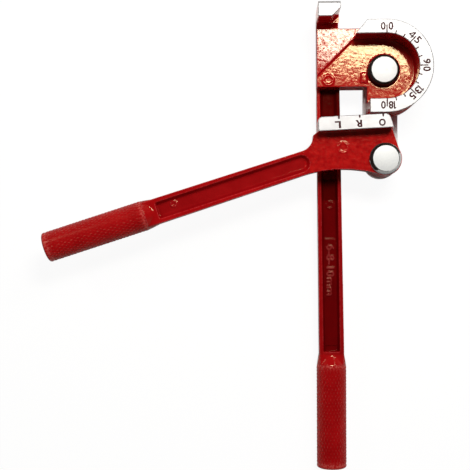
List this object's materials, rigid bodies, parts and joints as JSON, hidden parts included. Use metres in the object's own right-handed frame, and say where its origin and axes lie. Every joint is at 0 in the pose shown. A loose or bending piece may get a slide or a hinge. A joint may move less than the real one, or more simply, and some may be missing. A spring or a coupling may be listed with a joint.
{
  "type": "lever tube bender",
  "caption": "Hand tube bender with a grooved dial wheel and hook on one handle, and a pressing shoe on a lever that swings round the wheel on a link.",
  "frame": {"origin": "on the wheel axis, in the plane of the pivot pins' rear ends, on which the tool lies on its back", "axes": "+Z out of the dial face, +Y along the mandrel handle from its grip to the hook, +X to the right of the dial"},
  "size_m": [0.2933, 0.352, 0.0581],
  "materials": {
    "casting_paint": "glossy red paint on a slightly rough casting, with machined bare faces on the dial, hook and shoe",
    "grip_paint": "glossy red paint on a diamond knurl",
    "steel": "bright turned steel",
    "bronze": "oiled sintered bronze"
  },
  "bodies": {
    "mandrel": {"mandrel_casting": "casting_paint", "mandrel_shank": "casting_paint", "mandrel_grip": "grip_paint", "mandrel_grip_plug": "grip_paint", "wheel_bush": "bronze"},
    "link": {"link_plate": "steel", "wheel_pin": "steel", "lever_pin": "steel", "wheel_head_washer": "steel", "lever_head_washer": "steel", "wheel_thrust_washer": "bronze", "lever_thrust_washer": "bronze", "wheel_rear_washer": "steel", "lever_rear_washer": "steel", "wheel_circlip": "steel", "lever_circlip": "steel"},
    "lever": {"lever_casting": "casting_paint", "lever_grip": "grip_paint", "lever_grip_plug": "grip_paint", "lever_bush": "bronze"}
  },
  "joints": [
    {"name": "link_swing", "type": "hinge", "parent": "mandrel", "child": "link", "pos_m": [0, 0, 0.0175], "axis": [0, 0, 1], "range_deg": [-1, 182]},
    {"name": "lever_swing", "type": "hinge", "parent": "link", "child": "lever", "pos_m": [0, -0.067, 0.0285], "axis": [0, 0, 1], "range_deg": [-2.7, 120]}
  ]
}
